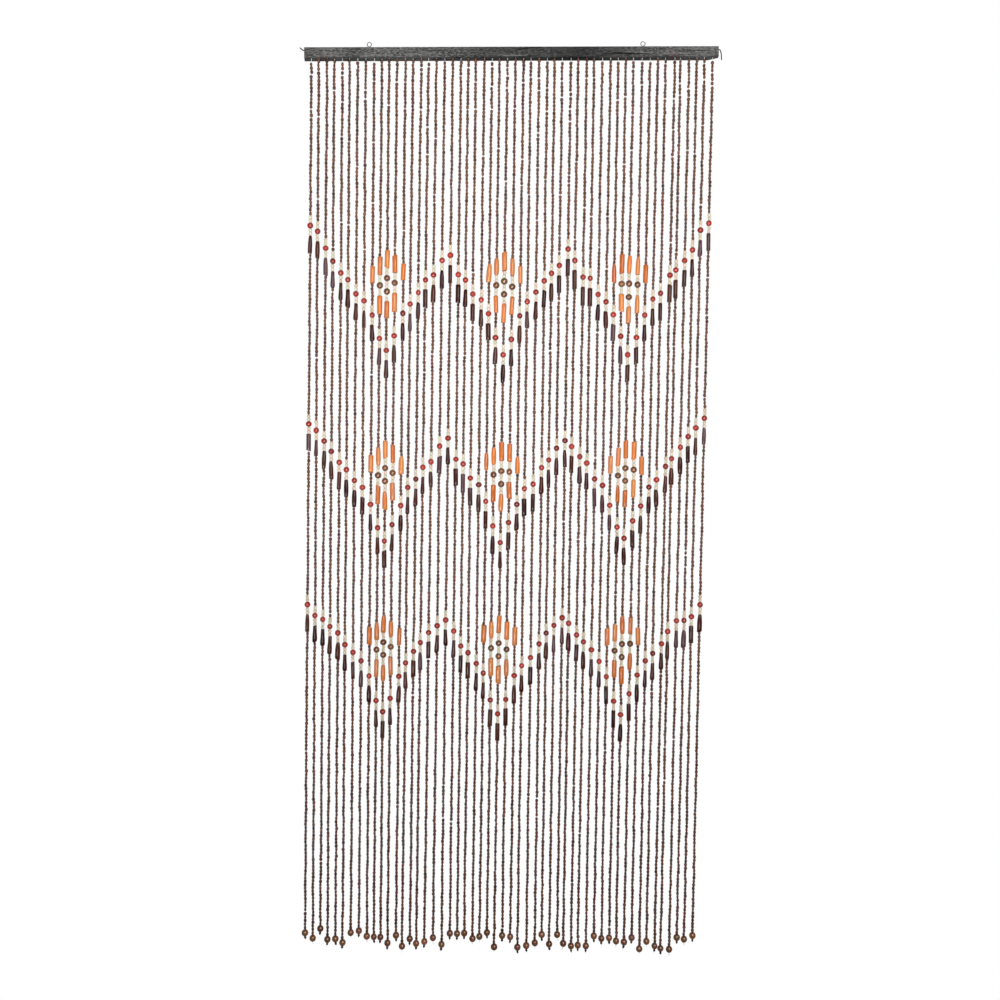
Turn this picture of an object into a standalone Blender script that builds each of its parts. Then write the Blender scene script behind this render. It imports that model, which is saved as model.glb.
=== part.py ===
"""Bead curtain on its header bar, hanging from two screw eyes.

The frame has +Z up, +X to the right of someone facing the curtain and +Y away from them. The origin
lies midway along the bar, level with the middle of the two screw eyes. The bar hangs slightly out of
level and the strings hang plumb.
"""

import math
import random

import bmesh
import bpy
from mathutils import Matrix, Vector

# Header bar, in metres. Heights named *_Z are measured in the bar's own frame, from the middle of the eyes.
BAR_LENGTH = 0.900
BAR_HEIGHT = 0.022
BAR_DEPTH = 0.030
BAR_TOP_Z = -0.0096
BAR_MIDDLE_Z = BAR_TOP_Z - BAR_HEIGHT / 2
BAR_BOTTOM_Z = BAR_TOP_Z - BAR_HEIGHT
BAR_EDGE_RADIUS = 0.0007
BAR_LEFT_SKEW = 0.0035              # how far the back stands past the front, as the ends are sawn aslant
BAR_RIGHT_SKEW = 0.0015
BAR_TILT = math.radians(0.99)       # the right-hand end hangs higher

# At the right-hand end the lower back corner is cut away by the bark edge.
WANE_LENGTH = 0.023                 # along the lower back edge
WANE_DEPTH = 0.018                  # across the underside, at the bar's end
WANE_RISE = 0.009                   # up the back edge, at the bar's end

# Holes in the bar
STRING_LINE_Y = -0.0045             # the strings hang in front of the bar's middle, clear of the eyes
CHANNEL_Z = BAR_TOP_Z - 0.0045      # lengthwise bore for the running cord
CHANNEL_RADIUS = 0.0019
STRING_HOLE_RADIUS = 0.0019
HOLE_SIDES = 8
CUT_MARGIN = 0.002                  # how far a cutter runs past the face it opens

# Screw eyes
EYE_LEFT_X = -0.3100
EYE_RIGHT_X = 0.2858
EYE_RING_RADIUS = 0.0046            # to the middle of the wire
EYE_WIRE_RADIUS = 0.0009
EYE_SHANK_RADIUS = 0.0011
EYE_SHANK_DEPTH = 0.0065            # how far the shank goes into the bar
EYE_HOLE_CLEARANCE = 0.0003

# Strings of beads
STRING_COUNT = 52
STRING_PITCH = 0.01713
STRING_RADIUS = 0.0007
BEAD_RADIUS = 0.0030
FIRST_BEAD_GAP = 0.0045             # bare string between the bar and the first bead
END_BEAD_DROP = 1.9855              # mean height of the end beads' middles, below the origin
END_BEAD_RADIUS = 0.0075
END_BEAD_CLEARANCE = 0.0005         # left between the end beads of neighbouring strings
END_BEAD_RING_ANGLES = (20, 55, 90, 125, 160)
TAIL_LENGTH = 0.0070                # stop bead and string tail below each end bead
TAIL_RADIUS = 0.0011
SHOULDER = 0.0003                   # height of the step from bare string to bead

# How unevenly the strings are drilled and hang: largest departures to either side, in metres
HANG_SEED = 52
HOLE_WANDER = 0.0013
LEAN_WANDER = 0.0009
DROP_WANDER = 0.0190
STRAY_HOLE = 46                     # index of the one hole drilled well off its mark
STRAY_OFFSET = 0.0030
# Groups of strings whose lower ends drift together: middle string, spread in strings, and how far the
# end beads drift sideways.
DRIFT_GROUPS = (
    {"string": 6.0, "spread": 2.5, "drift": 0.0018},
    {"string": 15.0, "spread": 2.5, "drift": -0.0042},
    {"string": 31.0, "spread": 2.5, "drift": 0.0042},
    {"string": 48.0, "spread": 3.5, "drift": -0.0015},
)

# Running cord
CORD_RADIUS = 0.0013
SPINE_HALF_LENGTH = 0.4405          # the stretch that the strings are tied to
CORD_JOIN_GAP = 0.0003
CORD_POINT_COUNT = 16
# Routes of the loose ends, from the bar's end outwards: distance out, rise above the channel, and
# distance towards the back. Each end starts inside the bar, where it meets the spine.
CORD_LEFT_ROUTE = (
    {"out": 0.0000, "rise": -0.0003, "back": 0.0000},
    {"out": 0.0035, "rise": 0.0008, "back": 0.0004},
    {"out": 0.0072, "rise": 0.0036, "back": 0.0010},
    {"out": 0.0108, "rise": 0.0067, "back": 0.0012},
)
CORD_RIGHT_ROUTE = (
    {"out": 0.0000, "rise": 0.0000, "back": 0.0000},
    {"out": 0.0030, "rise": -0.0016, "back": -0.0004},
    {"out": 0.0046, "rise": -0.0060, "back": -0.0010},
    {"out": 0.0056, "rise": -0.0130, "back": -0.0008},
    {"out": 0.0063, "rise": -0.0225, "back": 0.0002},
)

BEVEL_ANGLE = math.radians(50)
SMOOTH_ANGLE = math.radians(40)
WELD_DISTANCE = 0.00001
ROUTE_STEPS = 24                    # points read between two of a route's own, to even out its spacing


# ---------------------------------------------------------------- scene and helpers

def clear_scene():
    for obj in list(bpy.data.objects):
        bpy.data.objects.remove(obj, do_unlink=True)


def new_collection(name):
    collection = bpy.data.collections.new(name)
    bpy.context.scene.collection.children.link(collection)
    return collection


def new_material(name, colour, roughness, metallic=0.0):
    material = bpy.data.materials.new(name)
    material.use_nodes = True
    shader = material.node_tree.nodes["Principled BSDF"]
    shader.inputs["Base Color"].default_value = (*colour, 1.0)
    shader.inputs["Roughness"].default_value = roughness
    shader.inputs["Metallic"].default_value = metallic
    return material


def object_from_bmesh(name, shape, collection, material=None):
    mesh = bpy.data.meshes.new(name)
    shape.to_mesh(mesh)
    shape.free()
    obj = bpy.data.objects.new(name, mesh)
    collection.objects.link(obj)
    if material:
        mesh.materials.append(material)
    return obj


def mark_as_cutter(obj):
    obj.hide_render = True
    obj.display_type = "WIRE"


def add_boolean(obj, operation, cutter):
    modifier = obj.modifiers.new(cutter.name, "BOOLEAN")
    modifier.operation = operation
    modifier.solver = "EXACT"
    modifier.object = cutter


def shade_smooth(obj):
    obj.data.shade_smooth()
    obj.data.set_sharp_from_angle(angle=SMOOTH_ANGLE)


def new_tube_curve(name, routes, radius, collection):
    """One curve object of round tubes. Each route is a list of (point, tube radius)."""
    curve = bpy.data.curves.new(name, "CURVE")
    curve.dimensions = "3D"
    curve.bevel_depth = radius
    curve.bevel_resolution = 2
    curve.use_fill_caps = True
    for route in routes:
        spline = curve.splines.new("POLY")
        spline.points.add(len(route) - 1)
        for point, (place, tube_radius) in zip(spline.points, route):
            point.co = (*place, 1.0)
            point.radius = tube_radius / radius
    obj = bpy.data.objects.new(name, curve)
    collection.objects.link(obj)
    return obj


def curve_to_mesh_object(curve_obj, collection, material=None):
    """Replace a curve by its mesh with the caps welded on, so that it can be joined to others."""
    bpy.context.view_layer.update()
    graph = bpy.context.evaluated_depsgraph_get()
    mesh = bpy.data.meshes.new_from_object(curve_obj.evaluated_get(graph))
    shape = bmesh.new()
    shape.from_mesh(mesh)
    bmesh.ops.remove_doubles(shape, verts=shape.verts, dist=WELD_DISTANCE)
    bmesh.ops.recalc_face_normals(shape, faces=shape.faces)
    shape.to_mesh(mesh)
    shape.free()
    name = curve_obj.name
    obj = bpy.data.objects.new(name, mesh)
    obj.matrix_world = curve_obj.matrix_world.copy()
    collection.objects.link(obj)
    curve = curve_obj.data
    bpy.data.objects.remove(curve_obj, do_unlink=True)
    bpy.data.curves.remove(curve)
    obj.name = name
    mesh.materials.clear()
    if material:
        mesh.materials.append(material)
    shade_smooth(obj)
    return obj


def smooth_route(points, count):
    """Points read at equal steps along a Catmull-Rom curve through the route's own points."""
    padded = [points[0] * 2 - points[1], *points, points[-1] * 2 - points[-2]]
    spans = len(points) - 1
    fine = []
    for span in range(spans):
        a, b, c, d = padded[span:span + 4]
        for step in range(ROUTE_STEPS + (span == spans - 1)):
            t = step / ROUTE_STEPS
            fine.append(0.5 * (2 * b + (c - a) * t + (2 * a - 5 * b + 4 * c - d) * t ** 2
                               + (3 * b - a - 3 * c + d) * t ** 3))
    lengths = [0.0]
    for before, after in zip(fine, fine[1:]):
        lengths.append(lengths[-1] + (after - before).length)
    route = []
    index = 0
    for step in range(count):
        target = lengths[-1] * step / (count - 1)
        while index < len(lengths) - 2 and lengths[index + 1] < target:
            index += 1
        share = (target - lengths[index]) / (lengths[index + 1] - lengths[index])
        route.append(fine[index].lerp(fine[index + 1], share))
    return route


# ---------------------------------------------------------------- layout

TILT_MATRIX = Matrix.Rotation(-BAR_TILT, 4, "Y")


def bar_point(x, y, z):
    """A point given in the bar's own frame, in the curtain's frame."""
    return TILT_MATRIX @ Vector((x, y, z))


def string_layout():
    """Where each string is drilled, how far its lower end drifts sideways, and how low its end bead hangs."""
    rng = random.Random(HANG_SEED)
    strings = []
    for index in range(STRING_COUNT):
        hole = (index - (STRING_COUNT - 1) / 2) * STRING_PITCH + rng.uniform(-HOLE_WANDER, HOLE_WANDER)
        drift = rng.uniform(-LEAN_WANDER, LEAN_WANDER)
        end_z = -END_BEAD_DROP + rng.uniform(-DROP_WANDER, DROP_WANDER)
        for group in DRIFT_GROUPS:
            away = (index - group["string"]) / group["spread"]
            drift += group["drift"] * math.exp(-away ** 2)
        if index == STRAY_HOLE:
            hole += STRAY_OFFSET
            drift -= STRAY_OFFSET / 2
        strings.append({"hole": hole, "drift": drift, "end_z": end_z})
    fit_end_beads(strings)
    return strings


def string_point(string, z):
    """The string's middle at height z. It hangs straight, from its hole to where its end bead has drifted."""
    top = bar_point(string["hole"], STRING_LINE_Y, BAR_BOTTOM_Z)
    share = (top.z - z) / (top.z - string["end_z"])
    return Vector((top.x + string["drift"] * max(share, 0.0), STRING_LINE_Y, z))


def fit_end_beads(strings):
    """Give each string its end bead's radius: the common one, or less where a neighbour's is too near."""
    for string in strings:
        string["end_radius"] = END_BEAD_RADIUS
    for left, right in zip(strings, strings[1:]):
        apart = (string_point(left, left["end_z"]) - string_point(right, right["end_z"])).length
        room = (apart - END_BEAD_CLEARANCE) / 2
        left["end_radius"] = min(left["end_radius"], room)
        right["end_radius"] = min(right["end_radius"], room)


# ---------------------------------------------------------------- header bar

def block(name, length, depth, height, middle, collection, material=None):
    shape = bmesh.new()
    bmesh.ops.create_cube(shape, size=1.0)
    bmesh.ops.scale(shape, vec=(length, depth, height), verts=shape.verts)
    bmesh.ops.translate(shape, vec=middle, verts=shape.verts)
    return object_from_bmesh(name, shape, collection, material)


def add_hole(shape, radius, start, end):
    """Add one closed cylinder to a cutter, between two points."""
    axis = end - start
    turn = Vector((0, 0, 1)).rotation_difference(axis).to_matrix().to_4x4()
    place = Matrix.Translation((start + end) / 2) @ turn
    bmesh.ops.create_cone(shape, cap_ends=True, segments=HOLE_SIDES, radius1=radius, radius2=radius,
                          depth=axis.length, matrix=place)


def make_wane_cutter(collection):
    """A block whose upper face slopes through three points on the edges of the bar's lower back corner."""
    end = BAR_LENGTH / 2
    back = BAR_DEPTH / 2
    first = Vector((end - WANE_LENGTH, back, BAR_BOTTOM_Z))
    second = Vector((end, back - WANE_DEPTH, BAR_BOTTOM_Z))
    third = Vector((end, back, BAR_BOTTOM_Z + WANE_RISE))
    edge = (second - first).normalized()
    normal = edge.cross(third - first).normalized()
    size = 3 * BAR_DEPTH
    cutter = block("wane_cutter", size, size, size, (0, 0, -size / 2), collection)
    turn = Matrix((edge, normal.cross(edge), normal)).transposed().to_4x4()
    cutter.matrix_world = Matrix.Translation((first + second + third) / 3) @ turn
    return cutter


def make_header_bar(strings, parent, parts, cutters, material):
    bar = block("header_bar", BAR_LENGTH, BAR_DEPTH, BAR_HEIGHT, (0, 0, BAR_MIDDLE_Z), parts, material)
    for vertex in bar.data.vertices:
        if vertex.co.x < 0 and vertex.co.y > 0:
            vertex.co.x -= BAR_LEFT_SKEW
        if vertex.co.x > 0 and vertex.co.y < 0:
            vertex.co.x -= BAR_RIGHT_SKEW

    wane = make_wane_cutter(cutters)
    add_boolean(bar, "DIFFERENCE", wane)

    edges = bar.modifiers.new("eased_edges", "BEVEL")
    edges.width = BAR_EDGE_RADIUS
    edges.segments = 2
    edges.limit_method = "ANGLE"
    edges.angle_limit = BEVEL_ANGLE

    channel = bmesh.new()
    end = Vector((BAR_LENGTH / 2 + BAR_LEFT_SKEW + CUT_MARGIN, 0, 0))
    middle = Vector((0, STRING_LINE_Y, CHANNEL_Z))
    add_hole(channel, CHANNEL_RADIUS, middle - end, middle + end)

    string_holes = bmesh.new()
    for string in strings:
        mouth = Vector((string["hole"], STRING_LINE_Y, BAR_BOTTOM_Z - CUT_MARGIN))
        add_hole(string_holes, STRING_HOLE_RADIUS, mouth, Vector((string["hole"], STRING_LINE_Y, CHANNEL_Z)))

    eye_holes = bmesh.new()
    for x in (EYE_LEFT_X, EYE_RIGHT_X):
        foot = Vector((x, 0, BAR_TOP_Z - EYE_SHANK_DEPTH - EYE_HOLE_CLEARANCE))
        mouth = Vector((x, 0, BAR_TOP_Z + CUT_MARGIN))
        add_hole(eye_holes, EYE_SHANK_RADIUS + EYE_HOLE_CLEARANCE, foot, mouth)

    holes = [
        object_from_bmesh("channel_cutter", channel, cutters),
        object_from_bmesh("string_hole_cutter", string_holes, cutters),
        object_from_bmesh("eye_hole_cutter", eye_holes, cutters),
    ]
    for cutter in holes:
        add_boolean(bar, "DIFFERENCE", cutter)

    for obj in (bar, wane, *holes):
        obj.parent = parent
    for cutter in (wane, *holes):
        mark_as_cutter(cutter)
    return bar


# ---------------------------------------------------------------- screw eyes

def make_screw_eye(name, x, parent, parts, cutters, material):
    """A wire ring on a shank. The ring's middle is the eye object's origin, on the bar's own frame."""
    bpy.ops.mesh.primitive_torus_add(major_segments=32, minor_segments=10, major_radius=EYE_RING_RADIUS,
                                     minor_radius=EYE_WIRE_RADIUS)
    eye = bpy.context.active_object
    eye.name = name
    eye.data.transform(Matrix.Rotation(math.radians(90), 4, "X"))
    for collection in list(eye.users_collection):
        collection.objects.unlink(eye)
    parts.objects.link(eye)
    eye.data.materials.clear()
    eye.data.materials.append(material)

    foot = Vector((0, 0, BAR_TOP_Z - EYE_SHANK_DEPTH))
    top = Vector((0, 0, -EYE_RING_RADIUS))
    shape = bmesh.new()
    add_hole(shape, EYE_SHANK_RADIUS, foot, top)
    shank = object_from_bmesh(name + "_shank", shape, cutters)
    add_boolean(eye, "UNION", shank)

    for obj in (eye, shank):
        obj.location = (x, 0, 0)
        obj.parent = parent
    mark_as_cutter(shank)
    shade_smooth(eye)
    return eye


# ---------------------------------------------------------------- strings and running cord

def tooth_route(string):
    """One string: bare at the top, then its beads as a round rod, its end bead, and the tail under it."""
    knot = bar_point(string["hole"], STRING_LINE_Y, CHANNEL_Z)
    first_bead_z = bar_point(string["hole"], 0, BAR_BOTTOM_Z).z - FIRST_BEAD_GAP
    end_z = string["end_z"]
    end_radius = string["end_radius"]
    rod_end_z = end_z + end_radius * math.cos(math.radians(END_BEAD_RING_ANGLES[0])) + SHOULDER
    route = [
        (Vector((knot.x, STRING_LINE_Y, knot.z)), STRING_RADIUS),
        (string_point(string, first_bead_z + SHOULDER), STRING_RADIUS),
        (string_point(string, first_bead_z), BEAD_RADIUS),
        (string_point(string, rod_end_z), BEAD_RADIUS),
    ]
    for angle in END_BEAD_RING_ANGLES:
        ring_z = end_z + end_radius * math.cos(math.radians(angle))
        ring_radius = end_radius * math.sin(math.radians(angle))
        route.append((string_point(string, ring_z), ring_radius))
    route.append((string_point(string, end_z - end_radius - TAIL_LENGTH), TAIL_RADIUS))
    return route


def make_strand_comb(strings, parts, cutters, material):
    routes = [tooth_route(string) for string in strings]
    teeth = new_tube_curve("strand_comb", routes, BEAD_RADIUS, parts)
    comb = curve_to_mesh_object(teeth, parts, material)

    spine_ends = [bar_point(side * SPINE_HALF_LENGTH, STRING_LINE_Y, CHANNEL_Z) for side in (-1, 1)]
    spine_route = [(place, CORD_RADIUS) for place in spine_ends]
    spine_curve = new_tube_curve("running_cord_spine", [spine_route], CORD_RADIUS, cutters)
    spine = curve_to_mesh_object(spine_curve, cutters)
    add_boolean(comb, "UNION", spine)
    mark_as_cutter(spine)
    return comb


def make_cord_end(name, side, route, parts, material):
    """A loose end of the running cord, from its join with the spine inside the bar to its cut tip."""
    places = [bar_point(side * (SPINE_HALF_LENGTH + CORD_JOIN_GAP), STRING_LINE_Y, CHANNEL_Z)]
    for row in route:
        x = side * (BAR_LENGTH / 2 + row["out"])
        places.append(bar_point(x, STRING_LINE_Y + row["back"], CHANNEL_Z + row["rise"]))
    points = smooth_route(places, CORD_POINT_COUNT)
    cord = new_tube_curve(name, [[(place, CORD_RADIUS) for place in points]], CORD_RADIUS, parts)
    cord.data.materials.append(material)
    return cord


def main():
    clear_scene()
    parts = new_collection("bead_curtain")
    cutters = new_collection("cutters")

    stained_wood = new_material("stained_wood", (0.055, 0.054, 0.056), 0.62)
    bead_wood = new_material("bead_wood", (0.080, 0.030, 0.020), 0.35)
    eye_metal = new_material("eye_metal", (0.42, 0.42, 0.43), 0.35, metallic=1.0)
    cord_fibre = new_material("cord_fibre", (0.130, 0.035, 0.060), 0.85)

    strings = string_layout()

    bar_frame = bpy.data.objects.new("bar_frame", None)
    bar_frame.rotation_euler = (0, -BAR_TILT, 0)
    parts.objects.link(bar_frame)

    make_header_bar(strings, bar_frame, parts, cutters, stained_wood)
    make_screw_eye("screw_eye_left", EYE_LEFT_X, bar_frame, parts, cutters, eye_metal)
    make_screw_eye("screw_eye_right", EYE_RIGHT_X, bar_frame, parts, cutters, eye_metal)
    make_strand_comb(strings, parts, cutters, bead_wood)
    make_cord_end("cord_end_left", -1, CORD_LEFT_ROUTE, parts, cord_fibre)
    make_cord_end("cord_end_right", 1, CORD_RIGHT_ROUTE, parts, cord_fibre)


main()
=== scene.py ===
"""Looks of a wooden bead curtain on its header bar: 52 strings with three rows of V's and diamonds.

Metres, +Z up, +X to the right of someone facing the curtain, +Y away from them. The origin lies midway
along the bar, level with the middle of the two screw eyes. The bar hangs slightly out of level and the
strings hang plumb.
"""

import math
import random

import bmesh
import bpy
import numpy as np
from mathutils import Matrix, Vector


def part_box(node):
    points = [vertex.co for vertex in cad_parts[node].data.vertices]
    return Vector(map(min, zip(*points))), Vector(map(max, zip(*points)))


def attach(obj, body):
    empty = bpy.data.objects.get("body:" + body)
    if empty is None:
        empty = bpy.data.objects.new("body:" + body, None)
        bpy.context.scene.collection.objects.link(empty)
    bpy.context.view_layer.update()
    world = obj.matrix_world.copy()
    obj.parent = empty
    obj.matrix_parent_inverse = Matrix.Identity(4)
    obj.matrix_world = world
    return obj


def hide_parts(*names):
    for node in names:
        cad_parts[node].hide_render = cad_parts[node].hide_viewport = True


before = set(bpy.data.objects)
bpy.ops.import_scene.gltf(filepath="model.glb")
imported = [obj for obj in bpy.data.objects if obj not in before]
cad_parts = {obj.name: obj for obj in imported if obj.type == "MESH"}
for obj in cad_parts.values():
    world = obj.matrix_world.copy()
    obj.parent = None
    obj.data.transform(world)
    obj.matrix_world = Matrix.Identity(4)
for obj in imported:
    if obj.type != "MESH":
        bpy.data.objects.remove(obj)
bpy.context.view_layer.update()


def named_rows(names, rows):
    """A table as a list of dictionaries, from its column names and its rows."""
    return [dict(zip(names, row)) for row in rows]


# ---------------- sizes shared with the construction, in metres

BAR_LENGTH = 0.900
BAR_HEIGHT = 0.022
BAR_DEPTH = 0.030
BAR_TOP_Z = -0.0096
BAR_BOTTOM_Z = BAR_TOP_Z - BAR_HEIGHT
BAR_LEFT_SKEW = 0.0035              # how far the back stands past the front, as the ends are sawn aslant
BAR_RIGHT_SKEW = 0.0015
BAR_TILT = math.radians(0.99)       # the right-hand end hangs higher
WANE_LENGTH = 0.023                 # the lower back corner at the right, cut away by the bark edge
WANE_DEPTH = 0.018
WANE_RISE = 0.009

STRING_LINE_Y = -0.0045
CHANNEL_Z = BAR_TOP_Z - 0.0045
CHANNEL_RADIUS = 0.0019
STRING_HOLE_RADIUS = 0.0019

EYE_LEFT_X = -0.3100
EYE_RIGHT_X = 0.2858
EYE_RING_RADIUS = 0.0046
EYE_WIRE_RADIUS = 0.0009
EYE_SHANK_RADIUS = 0.0011
EYE_SHANK_DEPTH = 0.0065

STRING_COUNT = 52
STRING_PITCH = 0.01713
END_BEAD_DROP = 1.9855
END_BEAD_RADIUS = 0.0075
END_BEAD_CLEARANCE = 0.0005
TAIL_LENGTH = 0.0070

HANG_SEED = 52
HOLE_WANDER = 0.0013
LEAN_WANDER = 0.0009
DROP_WANDER = 0.0190
STRAY_HOLE = 46
STRAY_OFFSET = 0.0030
DRIFT_GROUPS = named_rows(("string", "spread", "drift"), (
    (6.0, 2.5, 0.0018),
    (15.0, 2.5, -0.0042),
    (31.0, 2.5, 0.0042),
    (48.0, 3.5, -0.0015),
))

CORD_RADIUS = 0.0013
CORD_INSIDE = 0.0180                # how far inside the bar each loose cord end is modelled from
CORD_LEFT_ROUTE = named_rows(("out", "rise", "back"), (
    (0.0000, -0.0003, 0.0000),
    (0.0035, 0.0008, 0.0004),
    (0.0072, 0.0036, 0.0010),
    (0.0108, 0.0067, 0.0012),
))
CORD_RIGHT_ROUTE = named_rows(("out", "rise", "back"), (
    (0.0000, 0.0000, 0.0000),
    (0.0030, -0.0016, -0.0004),
    (0.0046, -0.0060, -0.0010),
    (0.0056, -0.0130, -0.0008),
    (0.0063, -0.0225, 0.0002),
))


def add_object(name, data):
    made = bpy.data.objects.new(name, data)
    bpy.context.scene.collection.objects.link(made)
    return made


# ---------------- camera

CAMERA_LENS_MM = 43.93
CAMERA_SENSOR_MM = 36.0
CAMERA_PLACE = (-0.0107, -2.703, -0.859)
CAMERA_DOWN = math.radians(2.858)
CAMERA_ROLL = math.radians(0.854)
CAMERA_CLIP = (0.05, 60.0)


def make_camera():
    """A camera in front of the curtain, near half its height, tipped a little down and rolled a little."""
    data = bpy.data.cameras.new("camera")
    data.lens = CAMERA_LENS_MM
    data.sensor_width = CAMERA_SENSOR_MM
    data.clip_start, data.clip_end = CAMERA_CLIP
    camera = add_object("camera", data)
    forward = Vector((0, math.cos(CAMERA_DOWN), -math.sin(CAMERA_DOWN)))
    up = Vector((0, math.sin(CAMERA_DOWN), math.cos(CAMERA_DOWN)))
    right = Vector((1, 0, 0))
    rolled_right = right * math.cos(CAMERA_ROLL) + up * math.sin(CAMERA_ROLL)
    rolled_up = up * math.cos(CAMERA_ROLL) - right * math.sin(CAMERA_ROLL)
    turn = Matrix((rolled_right, rolled_up, -forward)).transposed().to_4x4()
    camera.matrix_world = Matrix.Translation(CAMERA_PLACE) @ turn
    bpy.context.scene.camera = camera


# ---------------- layout of the strings

TILT_MATRIX = Matrix.Rotation(-BAR_TILT, 4, "Y")
LAYOUT_TOLERANCE = 0.0007


def bar_point(x, y, z):
    """A point given in the bar's own frame, in the curtain's frame."""
    return TILT_MATRIX @ Vector((x, y, z))


def string_layout():
    """Where each string is drilled, how far its lower end drifts sideways, and how low its end bead hangs."""
    rng = random.Random(HANG_SEED)
    strings = []
    for index in range(STRING_COUNT):
        hole = (index - (STRING_COUNT - 1) / 2) * STRING_PITCH
        hole += rng.uniform(-HOLE_WANDER, HOLE_WANDER)
        drift = rng.uniform(-LEAN_WANDER, LEAN_WANDER)
        end_z = -END_BEAD_DROP + rng.uniform(-DROP_WANDER, DROP_WANDER)
        for group in DRIFT_GROUPS:
            away = (index - group["string"]) / group["spread"]
            drift += group["drift"] * math.exp(-away ** 2)
        if index == STRAY_HOLE:
            hole += STRAY_OFFSET
            drift -= STRAY_OFFSET / 2
        strings.append({"index": index, "hole": hole, "drift": drift, "end_z": end_z})
    fit_end_beads(strings)
    return strings


def string_point(string, z):
    """The string's middle at height z. It hangs straight, from its hole to where its end bead has drifted."""
    top = bar_point(string["hole"], STRING_LINE_Y, BAR_BOTTOM_Z)
    share = (top.z - z) / (top.z - string["end_z"])
    return Vector((top.x + string["drift"] * max(share, 0.0), STRING_LINE_Y, z))


def fit_end_beads(strings):
    """Give each string its end bead's radius: the common one, or less where a neighbour's is too near."""
    for string in strings:
        string["end_radius"] = END_BEAD_RADIUS
    for left, right in zip(strings, strings[1:]):
        apart = (string_point(left, left["end_z"]) - string_point(right, right["end_z"])).length
        room = (apart - END_BEAD_CLEARANCE) / 2
        left["end_radius"] = min(left["end_radius"], room)
        right["end_radius"] = min(right["end_radius"], room)


def check_layout(strings):
    """Stop if the strings' lowest and outermost points aren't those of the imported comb."""
    low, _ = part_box("strand_comb")
    lowest = min(string["end_z"] - string["end_radius"] for string in strings) - TAIL_LENGTH
    leftmost = min(string_point(string, string["end_z"]).x - string["end_radius"] for string in strings)
    if abs(lowest - low[2]) > LAYOUT_TOLERANCE or leftmost < low[0] - LAYOUT_TOLERANCE:
        raise RuntimeError(f"the strings reach {lowest:.4f} down and {leftmost:.4f} to the left here, and "
                           f"{low[2]:.4f} and {low[0]:.4f} in the model")


# ---------------- mesh helpers

def add_piece(name, mesh, replaced=()):
    """Put a piece in the scene, hang it on the root body and hide the parts it stands for."""
    obj = add_object(name, mesh)
    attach(obj, "root")
    if replaced:
        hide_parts(*replaced)
    return obj


def ring_quads(rings, sides, wrapped=False):
    """The corners of each face between two rings of points: two on the ring, then two on the next."""
    for ring in range(rings if wrapped else rings - 1):
        onward = ((ring + 1) % rings - ring) * sides
        for step in range(sides):
            a = ring * sides + step
            b = ring * sides + (step + 1) % sides
            yield a, b, b + onward, a + onward


def face_arrays(faces):
    """The corners of all faces in one array, and where each face starts in it."""
    loops = np.array([corner for face in faces for corner in face])
    starts = np.concatenate([[0], np.cumsum([len(face) for face in faces])[:-1]])
    return loops, starts


def mesh_from_arrays(name, points, loops, starts, sharp_rings=None, ring_of=None, material=None):
    """A smooth mesh from arrays. Edges that lie within a ring listed in sharp_rings are marked sharp."""
    mesh = bpy.data.meshes.new(name)
    mesh.vertices.add(len(points))
    mesh.vertices.foreach_set("co", np.ascontiguousarray(points, np.float32).ravel())
    mesh.loops.add(len(loops))
    mesh.loops.foreach_set("vertex_index", np.ascontiguousarray(loops, np.int32).ravel())
    mesh.polygons.add(len(starts))
    mesh.polygons.foreach_set("loop_start", np.ascontiguousarray(starts, np.int32).ravel())
    mesh.polygons.foreach_set("use_smooth", np.ones(len(starts), bool))
    mesh.update(calc_edges=True)
    if sharp_rings is not None:
        ends = np.zeros(len(mesh.edges) * 2, np.int32)
        mesh.edges.foreach_get("vertices", ends)
        rings = np.asarray(ring_of)[ends.reshape(-1, 2)]
        sharp = (rings[:, 0] == rings[:, 1]) & np.isin(rings[:, 0], sharp_rings)
        mesh.attributes.new("sharp_edge", "BOOLEAN", "EDGE").data.foreach_set("value", sharp)
    if material:
        mesh.materials.append(material)
    return mesh


# ---------------- turned beads

class Turned:
    """A turned bead of radius 1 and length 1, as rings of points from its top down.

    A row of the profile is (radius, height, sharp). A bored bead has a hole through it, whose radius is a
    share of the bead's own. A solid one is closed by a flat face at each end.
    """

    def __init__(self, profile, sides, bore=None):
        rows = list(profile)
        if bore:
            rows += [(bore, rows[-1][1], True), (bore, rows[0][1], True)]
        rings = len(rows)
        radii = np.array([row[0] for row in rows])[:, None]
        angles = np.arange(sides) * math.tau / sides
        # A polygon's flats lie inside its circle, so the corners go out a little to keep its mean width.
        fit = 2.0 / (1.0 + math.cos(math.pi / sides))
        points = np.zeros((rings, sides, 3))
        points[:, :, 0] = radii * np.cos(angles) * fit
        points[:, :, 1] = radii * np.sin(angles) * fit
        points[:, :, 2] = np.array([row[1] for row in rows])[:, None]
        self.points = points.reshape(-1, 3)
        self.sharp_rings = np.array([ring for ring, row in enumerate(rows) if row[2]])
        self.ring_of = np.repeat(np.arange(rings), sides)
        self.rings = rings
        faces = [[a, d, c, b] for a, b, c, d in ring_quads(rings, sides, wrapped=bool(bore))]
        if not bore:
            faces.append(list(range(sides)))
            faces.append([(rings - 1) * sides + side for side in reversed(range(sides))])
        self.loops, self.starts = face_arrays(faces)


def round_profile(rings, flat):
    """Rows for a ball bead whose ends are cut flat where its hole comes out."""
    first = math.asin(flat)
    rows = []
    for ring in range(rings):
        angle = first + (math.pi - 2 * first) * ring / (rings - 1)
        rows.append((math.sin(angle), math.cos(angle) / math.cos(first) * 0.5, ring in (0, rings - 1)))
    return rows


BARREL_PROFILE = (
    (0.42, 0.500, True),
    (0.85, 0.340, False),
    (1.02, 0.000, False),
    (0.85, -0.340, False),
    (0.42, -0.500, True),
)

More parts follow.
